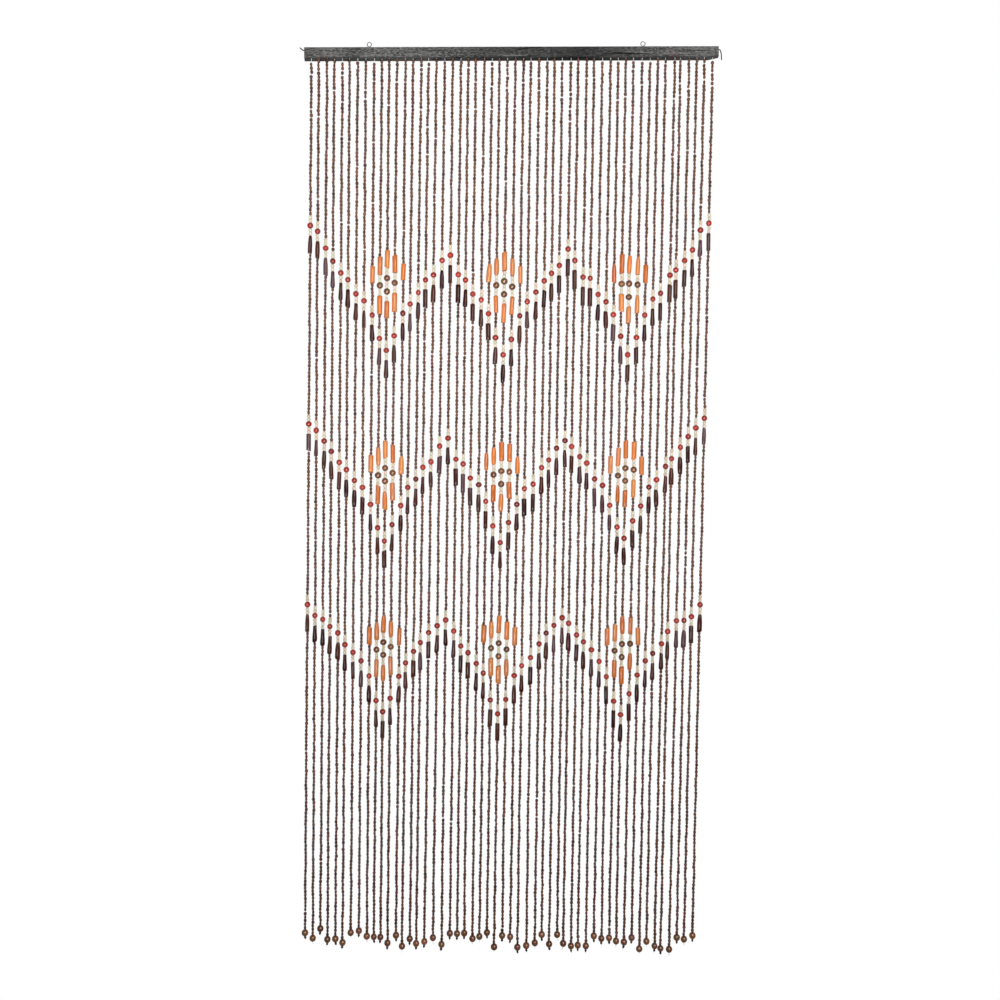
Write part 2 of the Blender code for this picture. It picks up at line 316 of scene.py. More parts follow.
TUBE_PROFILES = (
    # straight, its ends cut square
    ((0.90, 0.500, True), (0.99, 0.478, False), (1.00, 0.200, False), (0.98, -0.200, False),
     (0.99, -0.478, False), (0.88, -0.500, True)),
    # club: slim above, widest low down, with a short taper at the foot
    ((0.66, 0.500, True), (0.76, 0.472, False), (0.82, 0.150, False), (1.00, -0.220, False),
     (0.98, -0.420, False), (0.60, -0.500, True)),
    # spindle: fullest in the middle
    ((0.70, 0.500, True), (0.84, 0.440, False), (1.00, 0.120, False), (1.00, -0.180, False),
     (0.86, -0.440, False), (0.64, -0.500, True)),
    # tapered at the top only
    ((0.62, 0.500, True), (0.80, 0.380, False), (0.98, 0.100, False), (1.00, -0.250, False),
     (0.98, -0.480, False), (0.86, -0.500, True)),
)


SLANTED_FROM = 0.4                  # how far from a bead's middle, in lengths, its ends are cut aslant
BARREL_SIDES = 7
BORED_BARREL_SIDES = 8
BALL_SIDES = 14
BALL_RINGS = 9
BALL_FLAT = 0.30
BALL_BORE = 0.18
TUBE_BEAD_SIDES = 12
COMMON_BORE = 0.30


class BeadList:
    """The beads of one piece, gathered row by row and then joined into one mesh."""

    def __init__(self):
        self.rows = []

    def add(self, place, radius, length, rng, lean=(0.0, 0.0), slant=(0.0, 0.0), flatten=0.0, template=0):
        self.rows.append((*place, radius, length, rng.uniform(0, math.tau), *lean, *slant, flatten,
                          rng.random(), rng.random(), template))

    def join(self, name, templates, material, slot):
        table = np.array(self.rows)
        parts = []
        point_count = loop_count = ring_count = 0
        for number, template in enumerate(templates):
            rows = table[table[:, -1] == number]
            if not len(rows):
                continue
            (x, y, z, radius, length, spin, lean_x, lean_y, slant_top, slant_foot,
             flatten, shade, tone, _) = (column[:, None] for column in rows.T)
            unit = template.points
            px = unit[:, 0] * radius
            py = unit[:, 1] * radius * (1 - flatten)
            pz = unit[:, 2] * length
            pz = pz + np.where(unit[:, 2] > SLANTED_FROM, slant_top, 0) * px
            pz = pz + np.where(unit[:, 2] < -SLANTED_FROM, slant_foot, 0) * px
            qx = px * np.cos(spin) - py * np.sin(spin)
            qy = px * np.sin(spin) + py * np.cos(spin)
            placed = [x + qx + lean_x * pz, y + qy + lean_y * pz, z + pz - lean_x * qx - lean_y * qy]
            shape = (len(rows), len(unit))
            order = np.arange(len(rows))[:, None]
            parts.append((
                np.stack(placed, axis=-1).reshape(-1, 3),
                (template.loops + order * len(unit) + point_count).ravel(),
                (template.starts + order * len(template.loops) + loop_count).ravel(),
                (template.sharp_rings + order * template.rings + ring_count).ravel(),
                (template.ring_of + order * template.rings + ring_count).ravel(),
                np.broadcast_to(shade, shape).ravel(),
                np.broadcast_to(tone, shape).ravel(),
                np.broadcast_to(unit[:, 2] * 2, shape).ravel(),
            ))
            point_count += len(rows) * len(unit)
            loop_count += len(rows) * len(template.loops)
            ring_count += len(rows) * template.rings
        *shape_arrays, shades, tones, alongs = (np.concatenate(part) for part in zip(*parts))
        mesh = mesh_from_arrays(name, *shape_arrays, material)
        for kind, values in (("bead_shade", shades), ("bead_tone", tones), ("bead_along", alongs)):
            values = np.ascontiguousarray(values, np.float32)
            mesh.attributes.new(kind, "FLOAT", "POINT").data.foreach_set("value", values)
        add_piece(name, mesh)


# ---------------- tubes: threads, cords and wire

TUBE_SMOOTH_ANGLE = math.radians(60)
ROUTE_FINE_STEPS = 24               # steps in each span of a route's fine curve, before it is read evenly


def tube_arrays(path, radii, sides, lobes=0, lobe_depth=0.0, twist_pitch=1.0):
    """Points, loops and face starts of a closed tube along a path, lobed if it is laid from strands."""
    path = np.array([tuple(point) for point in path], float)
    radii = np.broadcast_to(np.asarray(radii, float), len(path))
    tangents = np.gradient(path, axis=0)
    tangents /= np.linalg.norm(tangents, axis=1)[:, None]
    side = np.cross(tangents[0], (0.0, 1.0, 0.0))
    if np.linalg.norm(side) < 0.1:
        side = np.cross(tangents[0], (1.0, 0.0, 0.0))
    angles = np.arange(sides) * math.tau / sides
    cosines = np.cos(angles)[:, None]
    sines = np.sin(angles)[:, None]
    travelled = np.concatenate([[0.0], np.cumsum(np.linalg.norm(np.diff(path, axis=0), axis=1))])
    rings = []
    for point, radius, tangent, distance in zip(path, radii, tangents, travelled):
        side = side - tangent * side.dot(tangent)
        side /= np.linalg.norm(side)
        other = np.cross(tangent, side)
        turn = distance / twist_pitch * math.tau
        swell = np.ones(sides)
        if lobes:
            swell = 1.0 - lobe_depth * (1.0 - np.abs(np.cos((angles - turn) * lobes / 2)))
        rings.append(point + radius * swell[:, None] * (cosines * side + sines * other))
    faces = [list(quad) for quad in ring_quads(len(path), sides)]
    faces.append(list(reversed(range(sides))))
    faces.append([(len(path) - 1) * sides + step for step in range(sides)])
    return (np.concatenate(rings), *face_arrays(faces))


def join_tubes(name, tubes, material, replaced=()):
    """One piece from several (points, loops, starts) tubes."""
    parts = []
    point_count = loop_count = 0
    for points, loops, starts in tubes:
        parts.append((points, loops + point_count, starts + loop_count))
        point_count += len(points)
        loop_count += len(loops)
    mesh = mesh_from_arrays(name, *(np.concatenate(part) for part in zip(*parts)), material=material)
    mesh.set_sharp_from_angle(angle=TUBE_SMOOTH_ANGLE)
    return add_piece(name, mesh, replaced)


def smooth_route(points, count):
    """Points read at equal steps along a Catmull-Rom curve through the route's own points."""
    padded = [points[0] * 2 - points[1], *points, points[-1] * 2 - points[-2]]
    spans = len(points) - 1
    fine = []
    for span in range(spans):
        a, b, c, d = padded[span:span + 4]
        for step in range(ROUTE_FINE_STEPS + (span == spans - 1)):
            t = step / ROUTE_FINE_STEPS
            fine.append(0.5 * (2 * b + (c - a) * t + (2 * a - 5 * b + 4 * c - d) * t ** 2
                               + (3 * b - a - 3 * c + d) * t ** 3))
    lengths = [0.0]
    for before, after in zip(fine, fine[1:]):
        lengths.append(lengths[-1] + (after - before).length)
    route = []
    index = 0
    for step in range(count):
        target = lengths[-1] * step / (count - 1)
        while index < len(lengths) - 2 and lengths[index + 1] < target:
            index += 1
        share = (target - lengths[index]) / (lengths[index + 1] - lengths[index])
        route.append(fine[index].lerp(fine[index + 1], share))
    return route


# ---------------- materials

def add_node(tree, kind, inputs=None, **settings):
    """A shader node with its settings. An input given as a socket is linked; any other is a plain value."""
    made = tree.nodes.new(kind)
    for key, value in settings.items():
        setattr(made, key, value)
    for key, value in (inputs or {}).items():
        socket = made.inputs[key]
        if isinstance(value, bpy.types.NodeSocket):
            tree.links.new(value, socket)
        else:
            socket.default_value = value
    return made


def new_material(name, **shader_values):
    material = bpy.data.materials.new(name)
    material.use_nodes = True
    shader = material.node_tree.nodes["Principled BSDF"]
    for key, value in shader_values.items():
        shader.inputs[key.replace("_", " ")].default_value = value
    return material


def finish_material(material, colour, roughness, height, depth):
    """Link up a material's colour, its roughness and its relief, which is a height and how deep it goes."""
    tree = material.node_tree
    relief = add_node(tree, "ShaderNodeBump", {"Height": height, "Distance": depth, "Strength": 1.0})
    inputs = tree.nodes["Principled BSDF"].inputs
    for name, socket in (("Base Color", colour), ("Roughness", roughness), ("Normal", relief.outputs[0])):
        tree.links.new(socket, inputs[name])
    return material


def math_node(tree, operation, first, second=0.0):
    return add_node(tree, "ShaderNodeMath", {0: first, 1: second}, operation=operation).outputs[0]


def plus(tree, first, second):
    return math_node(tree, "ADD", first, second)


def minus(tree, first, second):
    return math_node(tree, "SUBTRACT", first, second)


def times(tree, first, second):
    return math_node(tree, "MULTIPLY", first, second)


def distance(tree, first, second):
    return math_node(tree, "ABSOLUTE", minus(tree, first, second))


def mix_colour(tree, factor, first, second):
    """A colour between two. Each is a socket or a linear RGB triple."""
    made = tree.nodes.new("ShaderNodeMix")
    made.data_type = "RGBA"
    for socket, value in ((made.inputs[0], factor), (made.inputs[6], first), (made.inputs[7], second)):
        if isinstance(value, bpy.types.NodeSocket):
            tree.links.new(value, socket)
        elif isinstance(value, (int, float)):
            socket.default_value = value
        else:
            socket.default_value = (*value, 1.0)
    return made.outputs[2]


def map_range(tree, value, from_low, from_high, to_low=0.0, to_high=1.0):
    inputs = {"Value": value, "From Min": from_low, "From Max": from_high}
    inputs |= {"To Min": to_low, "To Max": to_high}
    return add_node(tree, "ShaderNodeMapRange", inputs).outputs["Result"]


def noise(tree, scale, stretch=(1, 1, 1), detail=3.0, roughness=0.55):
    """Noise in the piece's own coordinates. A stretch under 1 along an axis draws it out along that axis."""
    coordinates = add_node(tree, "ShaderNodeTexCoord").outputs["Object"]
    mapped = add_node(tree, "ShaderNodeMapping", {"Vector": coordinates, "Scale": stretch})
    inputs = {"Vector": mapped.outputs[0], "Scale": scale, "Detail": detail, "Roughness": roughness}
    return add_node(tree, "ShaderNodeTexNoise", inputs).outputs["Fac"]


def attribute(tree, name):
    return add_node(tree, "ShaderNodeAttribute", attribute_name=name).outputs["Fac"]


BEAD_ROUGHNESS = (0.28, 0.47)
END_SHADE_SHARE = 0.35                    # painted shade at each end of a bead, where it meets the next, as a share of its dark stain


def bead_material(name, dark, light, odd, second_odd=None, odd_share=0.5, second_share=0.22,
                  own_shade=0.55, rim=(0.7, 0.6), specular=0.25, coat=0.30, coat_ior=1.5, coat_gloss=0.14,
                  grain_scale=500.0, grain_depth=0.00010):
    """Stained and varnished turned wood.

    Each bead lies between a dark and a light stain by its own shade. Its tone pulls it towards one odd stain
    when high and towards a second when low. The grain runs along the bead, each end of the bead is darkened
    as painted shade where it meets the next, and the varnish is a little uneven.
    """
    material = new_material(name, Specular_IOR_Level=specular, Coat_Weight=coat, Coat_IOR=coat_ior,
                            Coat_Roughness=coat_gloss)
    tree = material.node_tree
    shade = attribute(tree, "bead_shade")
    tone = attribute(tree, "bead_tone")
    along = attribute(tree, "bead_along")
    grain = noise(tree, grain_scale, stretch=(1, 1, 0.12), detail=4.0)
    patches = noise(tree, 160.0, detail=2.0)
    grain_share = times(tree, map_range(tree, grain, 0.36, 0.64), 0.45)
    mixed = plus(tree, times(tree, shade, own_shade), grain_share)
    colour = mix_colour(tree, mixed, dark, light)
    odd_amount = times(tree, map_range(tree, tone, 1.0 - odd_share, 1.0), 0.85)
    colour = mix_colour(tree, odd_amount, colour, odd)
    if second_odd:
        low_amount = times(tree, map_range(tree, tone, second_share, 0.0), 0.80)
        colour = mix_colour(tree, low_amount, colour, second_odd)
    # Painted shade: each bead darkens towards its two ends, where it meets the next bead.
    rim_start, rim_strength = rim
    from_middle = math_node(tree, "ABSOLUTE", along)
    end_shade_amount = times(tree, map_range(tree, from_middle, rim_start, 1.0), rim_strength)
    colour = mix_colour(tree, end_shade_amount, colour, tuple(channel * END_SHADE_SHARE for channel in dark))
    roughness = map_range(tree, patches, 0.3, 0.7, *BEAD_ROUGHNESS)
    return finish_material(material, colour, roughness, grain, grain_depth)


# The lines on the bar's front fade out between these places behind it.
LINE_FADE = (0.0015 - BAR_DEPTH / 2, 0.0040 - BAR_DEPTH / 2)
STAIN_BLACK = (0.001, 0.001, 0.001)
STAIN_GREY = (0.212, 0.209, 0.206)
STREAK_GREY = (0.240, 0.235, 0.228)
TOP_LIGHT_GREY = (0.200, 0.197, 0.192)
RUB_GREY = (0.260, 0.253, 0.242)
CRACK_SHADE = (0.002, 0.002, 0.002)
RUST_RED = (0.085, 0.020, 0.014)


def line_mask(tree, place, line):
    """1 on a long arched line of the bar's front face, such as a crack, and 0 away from it."""
    from_top = minus(tree, place.outputs["X"], line["top"])
    left = math_node(tree, "DIVIDE", math_node(tree, "MINIMUM", from_top, 0.0), line["top"] - line["start"])
    right = math_node(tree, "DIVIDE", math_node(tree, "MAXIMUM", from_top, 0.0), line["end"] - line["top"])
    share = plus(tree, left, right)
    along = math_node(tree, "MAXIMUM", minus(tree, 1.0, times(tree, share, share)), 0.0)
    height = plus(tree, times(tree, along, line["high"] - line["low"]), BAR_BOTTOM_Z + line["low"])
    away = distance(tree, place.outputs["Z"], height)
    across = map_range(tree, away, line["half"] * 0.4, line["half"] * 2, 1.0, 0.0)
    front = map_range(tree, place.outputs["Y"], *LINE_FADE, 1.0, 0.0)
    return times(tree, times(tree, across, front), math_node(tree, "POWER", along, 0.4))


def bar_wood_material():
    """Wood stained charcoal by hand: mottled, with long grain, pale worn streaks and rust-red spots.
    The top of the front face is made paler as painted light, and the cracks are darkened as painted shade.
    """
    material = new_material("stained_wood", Specular_IOR_Level=0.25)
    tree = material.node_tree
    mottling = noise(tree, 22.0, stretch=(0.55, 1, 1), detail=3.0, roughness=0.6)
    speckle = noise(tree, 600.0, stretch=(0.24, 1, 1), detail=5.0, roughness=0.68)
    grain = noise(tree, 400.0, stretch=(0.035, 1, 1), detail=3.0, roughness=0.6)
    streaks = noise(tree, 190.0, stretch=(0.07, 1, 1), detail=2.0)
    coordinates = add_node(tree, "ShaderNodeTexCoord").outputs["Object"]
    place = add_node(tree, "ShaderNodeSeparateXYZ", {0: coordinates})
    x, z = place.outputs["X"], place.outputs["Z"]

    amount = times(tree, map_range(tree, mottling, 0.33, 0.67), 0.12)
    amount = plus(tree, amount, times(tree, map_range(tree, speckle, 0.48, 0.58), 0.95))
    amount = plus(tree, amount, times(tree, map_range(tree, grain, 0.43, 0.60), 0.32))
    colour = mix_colour(tree, amount, STAIN_BLACK, STAIN_GREY)
    pale = times(tree, map_range(tree, streaks, 0.60, 0.70), 0.45)
    colour = mix_colour(tree, pale, colour, STREAK_GREY)
    # Painted light: the top of the front face is made paler, as if lit more from above.
    top_light = times(tree, map_range(tree, z, BAR_TOP_Z - 0.0075, BAR_TOP_Z - 0.0005), 0.15)
    colour = mix_colour(tree, top_light, colour, TOP_LIGHT_GREY)
    darker = 0.0
    for tone in BAR_TONES:
        across = distance(tree, x, tone["middle"])
        darker = plus(tree, map_range(tree, across, 0.0, tone["reach"], tone["darker"], 0.0), darker)
    colour = mix_colour(tree, darker, colour, STAIN_BLACK)
    for rub in BAR_RUBS:
        worn = times(tree, line_mask(tree, place, rub), map_range(tree, speckle, 0.36, 0.52))
        colour = mix_colour(tree, times(tree, worn, 0.75), colour, RUB_GREY)
    # Painted shade: the cracks are darkened nearly to black, beyond the shade their shallow grooves cast.
    for crack in BAR_CRACKS:
        colour = mix_colour(tree, times(tree, line_mask(tree, place, crack), 0.95), colour, CRACK_SHADE)
    for stain_x in BAR_STAINS:
        across = distance(tree, x, stain_x)
        near = map_range(tree, across, 0.0, 0.022, 1.0, 0.0)
        low = map_range(tree, z, BAR_BOTTOM_Z + 0.009, BAR_BOTTOM_Z + 0.002)
        spot = times(tree, times(tree, near, low), map_range(tree, speckle, 0.40, 0.62))
        colour = mix_colour(tree, times(tree, spot, 0.75), colour, RUST_RED)
    roughness = map_range(tree, mottling, 0.3, 0.7, 0.50, 0.72)
    height = plus(tree, times(tree, grain, 0.7), times(tree, speckle, 0.3))
    return finish_material(material, colour, roughness, height, 0.0006)


def wire_material():
    """Zinc-plated steel wire, a little dulled."""
    material = new_material("eye_metal", Metallic=1.0)
    tree = material.node_tree
    wear = noise(tree, 900.0, detail=3.0)
    colour = mix_colour(tree, wear, (0.20, 0.20, 0.21), (0.48, 0.48, 0.50))
    roughness = map_range(tree, wear, 0.3, 0.7, 0.25, 0.48)
    return finish_material(material, colour, roughness, wear, 0.00003)


def fibre_material(name, dark, light):
    """Twisted yarn: fine fibres, matt."""
    material = new_material(name, Sheen_Weight=0.25, Sheen_Roughness=0.5)
    tree = material.node_tree
    fibres = noise(tree, 2500.0, stretch=(1, 1, 0.3), detail=3.0)
    colour = mix_colour(tree, map_range(tree, fibres, 0.3, 0.7), dark, light)
    roughness = map_range(tree, fibres, 0.3, 0.7, 0.60, 0.85)
    return finish_material(material, colour, roughness, fibres, 0.00008)


# ---------------- header bar

BAR_SECTIONS = 260
BAR_FRONT_ROWS = 24
BAR_OTHER_ROWS = 8
BAR_CORNER_ROWS = 3
BAR_CORNER_RADIUS = 0.0009
BAR_END_ROUNDING = 0.0006
BAR_SKEW_REACH = 0.030              # how far along the bar each end's slant is spread over its sections
CUTTER_CUTS = 31
CUTTER_ROUGHNESS = 0.0004
BAR_SEED = 7
BAR_STAINS = (-0.411, 0.353)        # rust-red spots low on the front face

# Long drying cracks in the front face: where each starts, is at its top and ends along the bar, how high it
# is above the bar's bottom edge at its start and at its top, its half width and its depth.
BAR_CRACKS = named_rows(("start", "top", "end", "low", "high", "half", "depth"), (
    (-0.012, 0.085, 0.086, 0.0092, 0.0222, 0.0011, 0.0016),
    (0.192, 0.245, 0.302, 0.0048, 0.0076, 0.0011, 0.0018),
    (0.372, 0.400, 0.432, 0.0150, 0.0128, 0.0006, 0.0008),
    (-0.215, -0.170, -0.120, 0.0120, 0.0140, 0.0005, 0.0005),
))
# Pale rubbed lines low on the front face.
BAR_RUBS = named_rows(("start", "top", "end", "low", "high", "half"), (
    (-0.412, -0.390, -0.366, 0.0026, 0.0034, 0.0008),
    (-0.332, -0.290, -0.258, 0.0034, 0.0042, 0.0009),
    (-0.030, 0.004, 0.036, 0.0038, 0.0032, 0.0008),
    (0.232, 0.262, 0.304, 0.0072, 0.0094, 0.0007),
    (0.330, 0.352, 0.384, 0.0060, 0.0072, 0.0007),
))
# Stretches where the stain lies thicker: each is darkest at its middle and fades out over its reach.
BAR_TONES = named_rows(("middle", "reach", "darker"), (
    (-0.450, 0.030, 0.25),
    (-0.342, 0.040, 0.32),
    (-0.150, 0.090, 0.12),
    (-0.050, 0.120, 0.34),
    (0.140, 0.260, 0.82),
))
# Where the lower front edge is rounded off: the middle, half the length, and how far it is cut.
BAR_EDGE_WORN = named_rows(("middle", "half", "cut"), (
    (0.245, 0.075, 0.0030),
    (-0.100, 0.120, 0.0012),
))
# Planing leaves each line of the surface a little low: how low, and in how many waves.
PLANING = ((0.00010, 60), (0.00004, 200))
FACE_EDGE = 0.93                    # share of the way to a face's plane beyond which a point lies on it
BAR_SMOOTH_ANGLE = math.radians(35)
HOLE_SIDES = 12
HOLE_MARGIN = 0.002


def bar_outline():
    """The bar's section as (y, z) points with rounded corners, clockwise seen from its right-hand end."""
    inner_y = BAR_DEPTH / 2 - BAR_CORNER_RADIUS
    inner_bottom = BAR_BOTTOM_Z + BAR_CORNER_RADIUS
    inner_top = BAR_TOP_Z - BAR_CORNER_RADIUS
    corners = (
        ((-inner_y, inner_bottom), 180, BAR_OTHER_ROWS),        # front bottom, then the underside
        ((inner_y, inner_bottom), 270, BAR_OTHER_ROWS),         # back bottom, then the back
        ((inner_y, inner_top), 0, BAR_OTHER_ROWS),              # back top, then the top
        ((-inner_y, inner_top), 90, BAR_FRONT_ROWS),            # front top, then the front
    )

    def corner_point(middle, degrees):
        angle = math.radians(degrees)
        y, z = middle
        return (y + BAR_CORNER_RADIUS * math.cos(angle), z + BAR_CORNER_RADIUS * math.sin(angle))

    points = []
    for number, (middle, first_angle, rows) in enumerate(corners):
        for step in range(BAR_CORNER_ROWS):
            points.append(corner_point(middle, first_angle + 90 * step / (BAR_CORNER_ROWS - 1)))
        start = points[-1]
        next_middle, next_angle, _ = corners[(number + 1) % 4]
        target = corner_point(next_middle, next_angle)
        for row in range(1, rows):
            share = row / rows
            points.append(tuple(a + (b - a) * share for a, b in zip(start, target)))
    return np.array(points)


def smooth_noise(rng, length, knots):
    """Smooth noise between -1 and 1, read along a line through that many random knots."""
    values = rng.uniform(-1, 1, knots)
    at = np.linspace(0, knots - 1, length)
    index = np.minimum(at.astype(int), knots - 2)
    share = at - index
    share = share * share * (3 - 2 * share)
    return values[index] * (1 - share) + values[index + 1] * share


def bar_points():
    """The bar's surface, planed a little unevenly: an array of sections, points in each, and x, y, z."""
    rng = np.random.default_rng(BAR_SEED)
    outline = bar_outline()
    half_depth = BAR_DEPTH / 2
    end = BAR_LENGTH / 2
    rounded_end = end - BAR_END_ROUNDING
    x = np.concatenate([[-end], np.linspace(-rounded_end, rounded_end, BAR_SECTIONS + 1), [end]])
    points = np.zeros((len(x), len(outline), 3))
    points[:, :, 0] = x[:, None]
    points[:, :, 1] = outline[:, 0]
    points[:, :, 2] = outline[:, 1]

    middle_z = BAR_BOTTOM_Z + BAR_HEIGHT / 2
    inward = np.stack([-outline[:, 0] / half_depth, -(outline[:, 1] - middle_z) / (BAR_HEIGHT / 2)], axis=-1)
    inward = np.where(np.abs(inward) > FACE_EDGE, inward, 0.0)
    inward /= np.maximum(np.linalg.norm(inward, axis=1), 0.5)[:, None]
    for point in range(len(outline)):
        low = sum(depth * (1 + smooth_noise(rng, len(x), waves)) for depth, waves in PLANING)
        points[:, point, 1:] += inward[point] * low[:, None]

    front = outline[:, 0] < -half_depth + 0.0002
    for crack in BAR_CRACKS:
        reach = np.where(x < crack["top"], crack["top"] - crack["start"], crack["end"] - crack["top"])
        along = np.clip(1 - ((x - crack["top"]) / reach) ** 2, 0, None)
        height = BAR_BOTTOM_Z + crack["low"] + (crack["high"] - crack["low"]) * along
        away = np.abs(outline[None, :, 1] - height[:, None]) / crack["half"]
        groove = crack["depth"] * along[:, None] ** 0.5 * np.clip(1 - away, 0, 1)
        points[:, :, 1] += np.where(front[None], groove, 0)

    from_front = outline[:, 0] + half_depth
    from_bottom = outline[:, 1] - BAR_BOTTOM_Z
    for worn in BAR_EDGE_WORN:
        along = np.clip(1 - ((x - worn["middle"]) / worn["half"]) ** 2, 0, None)
        reach = worn["cut"] * along[:, None] * 2
        inside = reach - (from_front[None] + from_bottom[None])
        move = np.clip(inside, 0, None) / 2
        points[:, :, 1] += move
        points[:, :, 2] += move

    points[[0, -1], :, 1:] += inward * BAR_END_ROUNDING
    backward = outline[:, 0] / BAR_DEPTH
    near_left = np.clip(1 - (end + x[:, None]) / BAR_SKEW_REACH, 0, 1)
    near_right = np.clip(1 - (end - x[:, None]) / BAR_SKEW_REACH, 0, 1)
    points[:, :, 0] -= BAR_LEFT_SKEW * (0.5 + backward) * near_left
    points[:, :, 0] -= BAR_RIGHT_SKEW * (0.5 - backward) * near_right
    return points


def add_wane_cutter(cutters, rng):
    """Add a block that takes off the bar's lower back corner, its rough upper face sloping."""
    end = BAR_LENGTH / 2
    back = BAR_DEPTH / 2
    first = Vector((end - WANE_LENGTH, back, BAR_BOTTOM_Z))
    second = Vector((end, back - WANE_DEPTH, BAR_BOTTOM_Z))
    third = Vector((end, back, BAR_BOTTOM_Z + WANE_RISE))
    edge = (second - first).normalized()
    normal = edge.cross(third - first).normalized()
    size = 3 * BAR_DEPTH
    turn = Matrix((edge, normal.cross(edge), normal)).transposed().to_4x4()
    place = Matrix.Translation((first + second + third) / 3) @ turn @ Matrix.Translation((0, 0, -size / 2))
    corners = bmesh.ops.create_cube(cutters, size=size, matrix=place)["verts"]
    top = max(corners, key=lambda vert: vert.co.dot(normal)).co.dot(normal)
    edges = {edge for vert in corners for edge in vert.link_edges}
    split = bmesh.ops.subdivide_edges(cutters, edges=list(edges), cuts=CUTTER_CUTS, use_grid_fill=True)
    new = [item for item in split["geom_inner"] if isinstance(item, bmesh.types.BMVert)]
    for vert in new:
        if abs(vert.co.dot(normal) - top) < 1e-6:
            vert.co -= normal * rng.uniform(0, CUTTER_ROUGHNESS)


def make_header_bar(strings, material):
    """The bar, bored for the running cord and the strings, and cut back at its waney corner."""
    points = bar_points()
    sections, around, _ = points.shape
    faces = [[a, d, c, b] for a, b, c, d in ring_quads(sections, around)]
    faces.append(list(range(around)))
    faces.append([(sections - 1) * around + step for step in reversed(range(around))])
    mesh = mesh_from_arrays("header_bar_wood", points.reshape(-1, 3), *face_arrays(faces), material=material)
    bar = add_object("header_bar_wood", mesh)

    holes = bmesh.new()
    add_wane_cutter(holes, random.Random(BAR_SEED))

    def add_hole(radius, start, end):
        axis = end - start
        turn = Vector((0, 0, 1)).rotation_difference(axis).to_matrix().to_4x4()
        bmesh.ops.create_cone(holes, cap_ends=True, segments=HOLE_SIDES, radius1=radius, radius2=radius,
                              depth=axis.length, matrix=Matrix.Translation((start + end) / 2) @ turn)

    end = BAR_LENGTH / 2 + BAR_LEFT_SKEW + HOLE_MARGIN
    add_hole(CHANNEL_RADIUS, *(Vector((x, STRING_LINE_Y, CHANNEL_Z)) for x in (-end, end)))
    for string in strings:
        mouth = Vector((string["hole"], STRING_LINE_Y, BAR_BOTTOM_Z - HOLE_MARGIN))
        add_hole(STRING_HOLE_RADIUS, mouth, Vector((string["hole"], STRING_LINE_Y, CHANNEL_Z)))
    hole_mesh = bpy.data.meshes.new("bar_holes")
    holes.to_mesh(hole_mesh)
    holes.free()
    cutter = add_object("bar_holes", hole_mesh)
    cut = bar.modifiers.new("holes", "BOOLEAN")
    cut.operation = "DIFFERENCE"
    cut.solver = "EXACT"
    cut.use_self = True
    cut.object = cutter
    graph = bpy.context.evaluated_depsgraph_get()
    bored = bpy.data.meshes.new_from_object(bar.evaluated_get(graph))
    bar.modifiers.clear()
    bar.data = bored
    bored.name = "header_bar_wood"
    bpy.data.meshes.remove(mesh)
    bpy.data.objects.remove(cutter, do_unlink=True)
    bpy.data.meshes.remove(hole_mesh)
    bored.shade_smooth()
    bored.set_sharp_from_angle(angle=BAR_SMOOTH_ANGLE)
    bar.matrix_world = TILT_MATRIX
    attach(bar, "root")
    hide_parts("header_bar")


# ---------------- screw eyes

EYE_OPENING = (-72, 252)            # angles round the ring, in degrees, where its wire begins and ends
EYE_SHANK_STEPS = 5
EYE_RING_STEPS = 40
EYE_POINTS = 90
EYE_SIDES = 12
EYE_NECK_LENGTH = 0.002             # where the shank's thicker wire turns into the ring's


def make_screw_eye(side, x, material):
    """A screw eye bent from one wire: a shank out of the bar, a tight bend, and a ring not quite closed."""
    foot = BAR_TOP_Z - EYE_SHANK_DEPTH
    neck = -EYE_RING_RADIUS - EYE_WIRE_RADIUS
    bends = [Vector((0, 0, foot + (neck - foot) * step / EYE_SHANK_STEPS))
             for step in range(EYE_SHANK_STEPS + 1)]
    first, last = EYE_OPENING
    for step in range(EYE_RING_STEPS + 1):
        angle = math.radians(first + (last - first) * step / EYE_RING_STEPS)
        bends.append(Vector((EYE_RING_RADIUS * math.cos(angle), 0, EYE_RING_RADIUS * math.sin(angle))))
    route = smooth_route(bends, EYE_POINTS)
    radii = []
    for point in route:
        share = 1.0
        if abs(point.x) < 0.0006:
            share = min(max((point.z - neck + EYE_NECK_LENGTH) / EYE_NECK_LENGTH, 0.0), 1.0)
        radii.append(EYE_SHANK_RADIUS + (EYE_WIRE_RADIUS - EYE_SHANK_RADIUS) * share)
    placed = [bar_point(x + point.x, point.y, point.z) for point in route]
    name = "screw_eye_" + side
    tubes = [tube_arrays(placed, radii, EYE_SIDES)]
    join_tubes(name + "_wire", tubes, material, replaced=(name,))


# ---------------- running cord and its loose ends

CORD_POINTS = 60
CORD_SIDES = 18
CORD_STRANDS = 3
CORD_TWIST = 0.0065                 # one full turn of the strands
CORD_LOBE_DEPTH = 0.20
CORD_INSIDE_SHARES = (1.0, 0.6, 0.25)
HIDDEN_CORD_SIDES = 10
HIDDEN_CORD_SPACE = 0.0003          # between the hidden cord and each loose end


def make_cord_end(side_name, side, route, material):
    """A loose end of the running cord, from inside the bar out to its cut tip."""
    end = BAR_LENGTH / 2
    places = [bar_point(side * (end - CORD_INSIDE * share), STRING_LINE_Y, CHANNEL_Z)
              for share in CORD_INSIDE_SHARES]
    for row in route:
        x = side * (end + row["out"])
        places.append(bar_point(x, STRING_LINE_Y + row["back"], CHANNEL_Z + row["rise"]))
    path = smooth_route(places, CORD_POINTS)
    tube = tube_arrays(path, CORD_RADIUS, CORD_SIDES, CORD_STRANDS, CORD_LOBE_DEPTH, CORD_TWIST)
    name = "cord_end_" + side_name
    cord = join_tubes(name + "_twisted", [tube], material, replaced=(name,))


